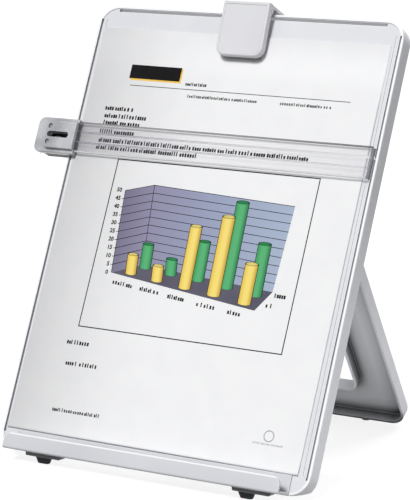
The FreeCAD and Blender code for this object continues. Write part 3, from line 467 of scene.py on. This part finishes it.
def make_finishes():
    wall_left, wall_right = (PAGE.translation.x + u * MM for u in WALL_BLEND)
    # The hard plastics darken their grooves, hollows and inner corners with painted shade, and lighten their
    # edges, the board's rim and the ledge's lip with painted highlights.
    made = [
        Finish("board_plastic", IOR=1.5, Coat_Weight=0.2, Coat_Roughness=0.25)
        .mottle("#dfe0e4", "#e6e7ea", 18.0).uneven_gloss(0.36, 0.5).grain(2600.0, 0.03 * MM, 0.35)
        .rubbed_rims().bright_edges("#fdfdfe", 1.0 * MM)
        .crevices("#8d8e95", 2.6 * MM, 0.3, 0.75, own_only=True),
        # Its wide painted shade darkens the trough between the sheet's foot and the lip.
        Finish("ledge_plastic", IOR=1.5, Coat_Weight=0.15, Coat_Roughness=0.3)
        .mottle("#d0d1d5", "#d8d9dd", 18.0).uneven_gloss(0.4, 0.55).grain(2400.0, 0.03 * MM, 0.5)
        .rubbed_rims().bright_edges("#f6f6f8", 1.0 * MM).crevices("#5c5d63", 9.0 * MM, 0.25, 0.8),
        # Its wide painted shade darkens the web beside the flanges and window, as painted shadow.
        Finish("leg_plastic", IOR=1.5)
        .mottle("#dddee2", "#e4e5e9", 16.0).uneven_gloss(0.42, 0.56).grain(2200.0, 0.03 * MM, 0.45)
        .bright_edges("#f8f8fa", 0.9 * MM).crevices("#1f1f23", 14.0 * MM, 0.5, 0.97),
        Finish("clip_plastic", IOR=1.5, Coat_Weight=0.15, Coat_Roughness=0.3)
        .mottle("#e0e0e3", "#e6e6e9", 24.0).uneven_gloss(0.34, 0.46).grain(2600.0, 0.02 * MM, 0.3)
        .bright_edges("#fefefe", 0.9 * MM).crevices("#2c2c30", 1.6 * MM),
        Finish("smoke_plastic", IOR=1.5, Coat_Weight=0.3, Coat_Roughness=0.12,
               Transmission_Weight=0.15)
        .mottle("#adafb3", "#d6d7db", 60.0, 5.0).uneven_gloss(0.2, 0.32, 60.0)
        .bright_edges("#fafafc", 0.8 * MM).crevices("#1e1e22", 1.8 * MM),
        Finish("dark_plastic", IOR=1.5)
        .mottle("#1c1d20", "#2a2b2f", 60.0).uneven_gloss(0.4, 0.6, 70.0)
        .grain(2200.0, 0.03 * MM, 0.4),
        clear_sheet("clear_plastic"),
        Finish("paper", IOR=1.4, Sheen_Weight=0.05)
        .mottle("#f4f4f5", "#f7f7f7", 60.0, 6.0).uneven_gloss(0.78, 0.92, 300.0)
        .grain(1500.0, 0.01 * MM, 0.15),
        Finish("grey_rubber", IOR=1.45)
        .mottle("#6f7074", "#83848a", 120.0).uneven_gloss(0.7, 0.85, 90.0)
        .grain(1800.0, 0.05 * MM, 0.5),
        Finish("black_rubber", IOR=1.45)
        .mottle("#17171a", "#26262a", 140.0).uneven_gloss(0.62, 0.8, 90.0)
        .grain(1600.0, 0.05 * MM, 0.5),
        Finish("polished_steel", Metallic=1.0)
        .mottle("#a9abaf", "#c3c5c9", 90.0, 4.0, (1, 6, 6))
        .uneven_gloss(0.2, 0.38, 160.0, (1, 8, 8)),
        Finish("spring_wire", Metallic=1.0)
        .mottle("#8c8d91", "#aeb0b4", 160.0).uneven_gloss(0.24, 0.42, 240.0),
        Finish("dark_spring", Metallic=0.3)
        .mottle("#94959b", "#f2f2f6", 420.0, 5.0, (1, 3, 3)).uneven_gloss(0.3, 0.55, 300.0),
        Finish("rivet_steel", Metallic=0.3)
        .mottle("#85868b", "#a6a7ac", 400.0).uneven_gloss(0.3, 0.5, 300.0),
        ink("ink_black", "#050506", "#101013", 900.0, 5.0),
        ink("ink_text", "#060607", "#141417", 1400.0, gloss=(0.6, 0.8)),
        ink("ink_grey", "#a9a9b0", "#bcbcc3", 600.0, gloss=(0.6, 0.8)),
        ink("ink_gold", "#f3c24a", "#f8d070", 500.0),
        ink("ink_floor", "#595767", "#64626f", 60.0),
        ink("ink_yellow_top", "#d9c46a", "#e6d480", 300.0),
        ink("ink_green_top", "#237544", "#2f8a52", 300.0),
        column_ink("ink_yellow", "#e9c552", "#fbe27c", "#c9a03a"),
        column_ink("ink_green", "#3f9a5e", "#5cb578", "#2c7d4a"),
        blended_ink("ink_wall", "place", wall_left, wall_right, [
            (0.0, "#77738a"), (0.2, "#9490ab"), (0.5, "#9ba2bd"), (1.0, "#abb9cf")]),
    ]
    return {finish.name: finish.material for finish in made}


def body_of_node(name):
    bodies = frame["record"]["behaviour"]["bodies"]
    return next(body for body, members in bodies.items() if name in members)


def smooth_faces(bm):
    for face in bm.faces:
        face.smooth = True
    for edge in bm.edges:
        edge.smooth = edge.calc_face_angle(0.0) < SHARP


def soften(name, radius, material):
    """A copy of a CAD node in its place, its sharp edges rounded over, or at radius 0 only smoothed."""
    bm = bmesh.new()
    bm.from_mesh(nodes[name].data)
    bmesh.ops.remove_doubles(bm, verts=bm.verts, dist=WELD)
    if radius:
        bmesh.ops.dissolve_limit(bm, angle_limit=FLAT, verts=bm.verts, edges=bm.edges)
    smooth_faces(bm)
    piece = add_object(name + "_moulded", mesh_of(name + "_moulded", bm))
    if radius:
        edges = piece.modifiers.new("soft_edges", "BEVEL")
        edges.width = radius
        edges.segments = 2
        edges.limit_method = "ANGLE"
        edges.angle_limit = SHARP
        edges.use_clamp_overlap = False
        edges.harden_normals = True
    else:
        piece.modifiers.new("flat_faces", "WEIGHTED_NORMAL").keep_sharp = True
    mesh = settled_mesh(piece)
    if radius:
        skin = BVHTree.FromObject(nodes[name], bpy.context.evaluated_depsgraph_get())
        for point in mesh.vertices:
            nearest, _, _, distance = skin.find_nearest(point.co)
            if distance > radius * ROUNDING_DEPTH:
                point.co = nearest
    piece.modifiers.clear()
    piece.data = mesh
    mesh.materials.clear()
    mesh.materials.append(material)
    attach(piece, body_of_node(name))
    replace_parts(piece, name)


def dress_nodes():
    for name, (finish, radius) in NODE_LOOKS.items():
        if radius is not None:
            soften(name, radius, finishes[finish])
        for place in nodes[name].material_slots:
            place.material = finishes[finish]


def on_page(name, bm, material):
    """A piece made in page space, set on the board."""
    mesh = mesh_of(name, bm)
    mesh.transform(PAGE)
    mesh.materials.append(material)
    piece = add_object(name, mesh)
    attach(piece, "stand")
    return piece


def free_edge_rise(u, v):
    """How far the sheet stands off the board at a place on the page, in millimetres."""
    free = min(1.0, max(0.0, (SHEET_HEIGHT / MM - CLIP_REACH - v) / FREE_EDGE))
    right = free * max(0.0, (u - SHEET_WIDTH / MM + FREE_EDGE) / FREE_EDGE)
    foot = max(0.0, 1.0 - v / FREE_EDGE)
    return min(FOOT_LIFT, RIGHT_LIFT * right ** 2 + FOOT_LIFT * foot ** 2)


def lay_sheet():
    """The sheet of paper: a top and an underside with the same grid, joined along the rim."""
    wide, high = SHEET_WIDTH / MM, SHEET_HEIGHT / MM
    strip = [FREE_EDGE * i / FREE_EDGE_STEPS for i in range(FREE_EDGE_STEPS + 1)]
    across = [0.0, wide / 2, wide - FREE_EDGE - FLAT_ROW, *(wide - u for u in reversed(strip))]
    upward = [*strip, FREE_EDGE + FLAT_ROW, high / 2,
              high - CLIP_REACH - FREE_EDGE, high - CLIP_REACH, high]
    last_row, last_column = len(upward) - 1, len(across) - 1
    bm = bmesh.new()
    top, base = (
        [[bm.verts.new((u * MM, v * MM, free_edge_rise(u, v) * MM - under)) for u in across]
         for v in upward]
        for under in (0.0, 2 * SHEET_HALF_THICK))
    for row in range(last_row):
        for column in range(last_column):
            ring = ((row, column), (row, column + 1), (row + 1, column + 1), (row + 1, column))
            bm.faces.new([top[r][c] for r, c in ring])
            bm.faces.new([base[r][c] for r, c in reversed(ring)])
    rim = [*((0, c) for c in range(last_column)),
           *((r, last_column) for r in range(last_row)),
           *((last_row, c) for c in range(last_column, 0, -1)),
           *((r, 0) for r in range(last_row, 0, -1))]
    for (r0, c0), (r1, c1) in zip(rim, rim[1:] + rim[:1]):
        bm.faces.new((base[r0][c0], base[r1][c1], top[r1][c1], top[r0][c0]))
    smooth_faces(bm)
    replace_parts(on_page("letter_sheet", bm, finishes["paper"]), "paper_sheet")


def add_slab(bm, outline, layer):
    """A closed flat slab of ink, from a counterclockwise outline on the page."""
    high = [bm.verts.new((u * MM, v * MM, layer * INK_STEP)) for u, v in outline]
    low = [bm.verts.new((u * MM, v * MM, INK_ROOT)) for u, v in outline]
    faces = [bm.faces.new(high), bm.faces.new(list(reversed(low)))]
    for i in range(len(outline)):
        j = (i + 1) % len(outline)
        faces.append(bm.faces.new((high[j], high[i], low[i], low[j])))
    return faces


def print_outlines(name, outlines, layer, material):
    bm = bmesh.new()
    for outline in outlines:
        add_slab(bm, outline, layer)
    return on_page(name, bm, material)


def print_meshes(name, meshes, material):
    bm = bmesh.new()
    for mesh in meshes:
        bm.from_mesh(mesh)
    return on_page(name, bm, material)


def rectangle(u0, v0, u1, v1):
    return [(u0, v0), (u1, v0), (u1, v1), (u0, v1)]


def arc(centre, half_width, half_height, first=0, last=360 - ARC_STEP):
    """Points along an ellipse, from one angle to another in degrees, or all round it."""
    angles = [math.radians(angle) for angle in range(first, last + 1, ARC_STEP)]
    return [(centre[0] + half_width * math.cos(a), centre[1] + half_height * math.sin(a))
            for a in angles]


def between(a, b, t):
    return (a[0] + (b[0] - a[0]) * t, a[1] + (b[1] - a[1]) * t)


def start_tree(name, sizes, seeded=False):
    """A new tree with a mesh and named sizes in and a mesh out, and what its inputs give."""
    tree = bpy.data.node_groups.new(name, "GeometryNodeTree")
    tree.interface.new_socket("Geometry", in_out="INPUT", socket_type="NodeSocketGeometry")
    for size in sizes:
        tree.interface.new_socket(size, in_out="INPUT", socket_type="NodeSocketFloat")
    if seeded:
        tree.interface.new_socket("Seed", in_out="INPUT", socket_type="NodeSocketInt")
    tree.interface.new_socket("Geometry", in_out="OUTPUT", socket_type="NodeSocketGeometry")
    return tree, add_node(tree, "NodeGroupInput").outputs


def finish_tree(tree, geometry, material):
    real = add_node(tree, "GeometryNodeRealizeInstances", {"Geometry": geometry})
    inked = add_node(tree, "GeometryNodeSetMaterial", {
        "Geometry": real.outputs["Geometry"], "Material": material})
    add_node(tree, "NodeGroupOutput", {"Geometry": inked.outputs["Geometry"]})
    return tree


def letter_row_tree(name, material):
    """Plain upright dashes of mixed widths and heights along each edge: one edge is one word."""
    tree, given = start_tree(
        name, ("Pitch", "Letter Width", "Letter Height", "Ink Height"), seeded=True)
    curve = add_node(tree, "GeometryNodeMeshToCurve", {"Mesh": given["Geometry"]})
    points = add_node(tree, "GeometryNodeCurveToPoints", {
        "Curve": curve.outputs["Curve"], "Length": given["Pitch"]}, mode="LENGTH")
    size = add_node(tree, "ShaderNodeCombineXYZ", {
        "X": given["Letter Width"], "Y": given["Letter Height"], "Z": given["Ink Height"]})
    dash = add_node(tree, "GeometryNodeMeshCube", {"Size": size.outputs["Vector"]})
    half = add_node(tree, "ShaderNodeVectorMath", {
        0: size.outputs["Vector"], 1: (0.5, 0.5, 0.0)}, operation="MULTIPLY")
    stood = add_node(tree, "GeometryNodeTransform", {
        "Geometry": dash.outputs["Mesh"], "Translation": half.outputs["Vector"]})
    small = add_node(tree, "FunctionNodeRandomValue", {
        "Min": SMALL_LETTERS[0], "Max": SMALL_LETTERS[1], "Seed": given["Seed"]},
        data_type="FLOAT_VECTOR")
    tall = add_node(tree, "FunctionNodeRandomValue", {
        "Probability": TALL_SHARE, "Seed": given["Seed"]}, data_type="BOOLEAN")
    shape = add_node(tree, "GeometryNodeSwitch", {
        "Switch": tall.outputs[3], "False": small.outputs[0], "True": TALL_LETTER},
        input_type="VECTOR")
    row = add_node(tree, "GeometryNodeInstanceOnPoints", {
        "Points": points.outputs["Points"], "Instance": stood.outputs["Geometry"],
        "Scale": shape.outputs["Output"]})
    return finish_tree(tree, row.outputs["Instances"], material)


def ink_line_tree(name, material):
    """A flat printed stroke along each run of edges, closed runs with mitred corners."""
    tree, given = start_tree(name, ("Line Width", "Ink Height"))
    curve = add_node(tree, "GeometryNodeMeshToCurve", {"Mesh": given["Geometry"]})
    level = add_node(tree, "GeometryNodeSetCurveNormal", {
        "Curve": curve.outputs["Curve"]}, mode="Z_UP")
    nib = add_node(tree, "GeometryNodeCurvePrimitiveQuadrilateral", {
        "Width": given["Line Width"], "Height": given["Ink Height"]})
    stroke = add_node(tree, "GeometryNodeCurveToMesh", {
        "Curve": level.outputs["Curve"], "Profile Curve": nib.outputs["Curve"], "Fill Caps": True})
    return finish_tree(tree, stroke.outputs["Mesh"], material)


def run_tree(name, runs, layer, tree, values):
    """Plain mesh that a tree makes of runs of points. A closed run repeats its first point."""
    top = layer * INK_STEP
    level = (top + INK_ROOT) / 2
    bm = bmesh.new()
    for run in runs:
        closed = run[0] == run[-1]
        corners = [bm.verts.new((u * MM, v * MM, level)) for u, v in (run[:-1] if closed else run)]
        for a, b in zip(corners, corners[1:]):
            bm.edges.new((a, b))
        if closed:
            bm.edges.new((corners[-1], corners[0]))
    guide = add_object(name, mesh_of(name, bm))
    pattern = guide.modifiers.new("pattern", "NODES")
    pattern.node_group = tree
    values = {**values, "Ink Height": top - INK_ROOT}
    for item in tree.interface.items_tree:
        if item.in_out == "INPUT" and item.name in values:
            pattern[item.identifier] = values[item.name]
    made = settled_mesh(guide)
    bpy.data.objects.remove(guide)
    return made


def print_text(name, lines, seed, material):
    """Filler text: each line is broken into short words, and a tree sets the dashes of each."""
    made = []
    tree = letter_row_tree(name, material)
    for number, (start, end, height) in enumerate(lines):
        dice = random.Random(seed + number)
        pitch = height * LETTER_PITCH
        length = math.dist(start, end)
        words = []
        done = 0.0
        while length - done > pitch * LAST_WORD:
            word = min(length - done, pitch * dice.randint(*WORD_LENGTHS))
            ends = between(start, end, done / length), between(start, end, (done + word) / length)
            words.append([(u, v - height * TEXT_DROP) for u, v in ends])
            done += word + pitch * WORD_GAP
        made.append(run_tree(name, words, 1, tree, {
            "Pitch": pitch * MM, "Letter Width": pitch * LETTER_FILL * MM,
            "Letter Height": height * MM, "Seed": seed + number}))
    return print_meshes(name, made, material)


def print_lines(name, runs, width, layer, material):
    mesh = run_tree(name, runs, layer, ink_line_tree(name, material), {"Line Width": width * MM})
    return print_meshes(name, [mesh], material)


def print_letter():
    text, grey = finishes["ink_text"], finishes["ink_grey"]
    print_outlines("letterhead_edge", [rectangle(*LETTERHEAD_EDGE)], 1, finishes["ink_gold"])
    print_outlines("letterhead_block", [rectangle(*LETTERHEAD_BLOCK)], 2, finishes["ink_black"])
    print_lines("letterhead_rule", [LETTERHEAD_RULE], RULE_LINE, 1, text)
    print_text("letter_lines", TEXT_LINES, LETTER_SEED, text)
    print_text("foot_note", FOOT_NOTE, NOTE_SEED, grey)
    ring = arc(FOOT_RING, FOOT_RING_RADIUS, FOOT_RING_RADIUS)
    print_lines("foot_ring", [[*ring, ring[0]]], RING_LINE, 1, grey)


def column_outline(top, foot, width):
    return (arc(foot, width / 2, width * CAP_FLATTEN, 180, 360)
            + arc(top, width / 2, width * CAP_FLATTEN, 0, 180))


def cap_outline(top, width):
    return arc(top, width / 2, width * CAP_FLATTEN)


def print_column(index, colour, top, foot, width):
    """A printed column, with a black outline round it and a round top within a black edge."""
    name = f"chart_{colour}_{index}"
    black, top_ink = finishes["ink_black"], finishes[f"ink_{colour}_top"]
    layer = COLUMN_LAYERS[colour]
    outer_width = width + OUTLINE
    bm = bmesh.new()
    faces = add_slab(bm, column_outline(top, foot, width), layer)
    strip = bm.loops.layers.uv.new("UVMap")
    axis_u, axis_v = top[0] - foot[0], top[1] - foot[1]
    for face in faces:
        for loop in face.loops:
            u, v = loop.vert.co.x / MM, loop.vert.co.y / MM
            middle = foot[0] + axis_u * (v - foot[1]) / axis_v
            loop[strip].uv = ((u - middle) / width + 0.5, (v - foot[1]) / axis_v)
    on_page(name, bm, finishes[f"ink_{colour}"])
    print_outlines(name + "_outline", [column_outline(top, foot, outer_width)], layer - 0.5, black)
    print_outlines(name + "_edge", [cap_outline(top, outer_width)], layer + 0.5, black)
    print_outlines(name + "_top", [cap_outline(top, width - OUTLINE)], layer + 1.0, top_ink)


def print_numbers():
    """The plain numbers up the chart's axis."""
    made = []
    for step in range(AXIS_STEPS + 1):
        t = step / AXIS_STEPS
        curve = bpy.data.curves.new("axis_number", "FONT")
        curve.body = str(int(AXIS_TOP_NUMBER * t))
        curve.size = NUMBER_SIZE * MM
        curve.align_x = "RIGHT"
        curve.align_y = "CENTER"
        curve.extrude = INK_STEP / 2
        curve.offset = NUMBER_WEIGHT * MM
        curve.resolution_u = 3
        writer = add_object("axis_number", curve)
        mesh = settled_mesh(writer)
        bpy.data.objects.remove(writer)
        u, v = between(WALL_LEFT_BASE, WALL_LEFT_TOP, t)
        mesh.transform(Matrix.Translation(((u - NUMBER_SHIFT) * MM, v * MM, 0)))
        made.append(mesh)
    print_meshes("axis_numbers", made, finishes["ink_black"])


def print_chart():
    black = finishes["ink_black"]
    print_lines("chart_frame", [[*FRAME_CORNERS, FRAME_CORNERS[0]]], FRAME_LINE, 1, black)
    print_outlines("chart_walls", [
        [WALL_LEFT_BASE, WALL_CORNER_BASE, WALL_CORNER_TOP, WALL_LEFT_TOP],
        [WALL_CORNER_BASE, WALL_RIGHT_BASE, WALL_RIGHT_TOP, WALL_CORNER_TOP],
    ], 1, finishes["ink_wall"])
    print_outlines("chart_floor", [
        [WALL_LEFT_BASE, CHART_FLOOR_FRONT, WALL_RIGHT_BASE, WALL_CORNER_BASE],
    ], 1, finishes["ink_floor"])
    lines = []
    for step in range(1, AXIS_STEPS):
        t = step / AXIS_STEPS
        left = between(WALL_LEFT_BASE, WALL_LEFT_TOP, t)
        corner = between(WALL_CORNER_BASE, WALL_CORNER_TOP, t)
        right = between(WALL_RIGHT_BASE, WALL_RIGHT_TOP, t)
        lines.append([(left[0] - AXIS_TICK[0], left[1] - AXIS_TICK[1]), left, corner, right])
    lines.append([WALL_LEFT_BASE, WALL_LEFT_TOP, WALL_CORNER_TOP, WALL_RIGHT_TOP])
    lines.append([WALL_CORNER_BASE, WALL_CORNER_TOP])
    print_lines("chart_lines", lines, CHART_LINE, 2, black)
    for index, column in enumerate(COLUMNS):
        print_column(index, *column)
    print_numbers()
    print_text("chart_labels", CHART_LABELS, LABEL_SEED, black)


def backdrop_view(tree):
    """1 where the camera sees a surface, also in a gloss or through plastic, and 0 for lighting."""
    path = add_node(tree, "ShaderNodeLightPath").outputs
    seen = path["Is Camera Ray"]
    for way in ("Is Glossy Ray", "Is Transmission Ray"):
        seen = calculate(tree, "MAXIMUM", seen, path[way])
    direct = calculate(tree, "LESS_THAN", path["Diffuse Depth"], 0.5)
    return calculate(tree, "MULTIPLY", seen, direct)


def show_by_view(tree, lighting, seen, output):
    """One shader for the light that a backdrop gives, and another for what is seen of it."""
    both = add_node(tree, "ShaderNodeMixShader", {
        "Fac": backdrop_view(tree), 1: lighting.outputs[0], 2: seen.outputs[0]})
    add_node(tree, output, {"Surface": both.outputs[0]})


def build_floor():
    """A wide floor that looks white but for the shade on it, and throws little light up."""
    bm = bmesh.new()
    bmesh.ops.create_grid(bm, x_segments=8, y_segments=8, size=FLOOR_HALF)
    floor = add_object("studio_floor", mesh_of("studio_floor", bm))
    floor.location.z = -FLOOR_DROP
    material = bpy.data.materials.new("studio_floor")
    material.use_nodes = True
    tree = material.node_tree
    tree.nodes.clear()
    plain = add_node(tree, "ShaderNodeBsdfDiffuse", {"Color": tone(FLOOR_LIT)})
    shaded = add_node(tree, "ShaderNodeBsdfDiffuse", {"Color": tone(FLOOR_SHADED)})
    glow = add_node(tree, "ShaderNodeEmission", {"Strength": FLOOR_GLOW})
    lifted = add_node(tree, "ShaderNodeAddShader", {0: shaded.outputs[0], 1: glow.outputs[0]})
    show_by_view(tree, plain, lifted, "ShaderNodeOutputMaterial")
    floor.data.materials.append(material)


def build_world():
    """A bright backdrop that gives only a dim light."""
    world = bpy.data.worlds.new("studio")
    bpy.context.scene.world = world
    world.use_nodes = True
    tree = world.node_tree
    tree.nodes.clear()
    dim = add_node(tree, "ShaderNodeBackground", {"Color": SKY_TINT, "Strength": SKY_LIGHT})
    bright = add_node(tree, "ShaderNodeBackground", {"Strength": 1.0})
    show_by_view(tree, dim, bright, "ShaderNodeOutputWorld")


def aim(thing, place, target):
    thing.location = place
    thing.rotation_euler = (Vector(target) - thing.location).to_track_quat("-Z", "Y").to_euler()


def build_lights():
    key = bpy.data.lights.new("key", "SUN")
    key.energy = KEY_STRENGTH
    key.angle = KEY_ANGLE
    aim(add_object("key", key), KEY_PLACE, KEY_TARGET)
    for name, place, target, width, height, watts, spread in SOFT_BOXES:
        light = bpy.data.lights.new(name, "AREA")
        light.shape = "RECTANGLE"
        light.size = width
        light.size_y = height
        light.energy = watts
        light.spread = math.radians(spread)
        box = add_object(name, light)
        box.visible_camera = False
        aim(box, place, target)


def build_camera():
    data = bpy.data.cameras.new("photo_camera")
    data.sensor_width = CAMERA_SENSOR
    data.lens = CAMERA_LENS
    data.clip_start, data.clip_end = CAMERA_CLIP
    camera = add_object("photo_camera", data)
    up = CAMERA_BACK.cross(CAMERA_RIGHT).normalized()
    turn = Matrix((up.cross(CAMERA_BACK), up, CAMERA_BACK)).transposed()
    camera.matrix_world = Matrix.Translation(CAMERA_PLACE) @ turn.to_4x4()
    bpy.context.scene.camera = camera


finishes = make_finishes()
dress_nodes()
lay_sheet()
print_letter()
print_chart()
build_floor()
build_world()
build_lights()
build_camera()

bpy.context.scene.view_settings.view_transform = "Standard"
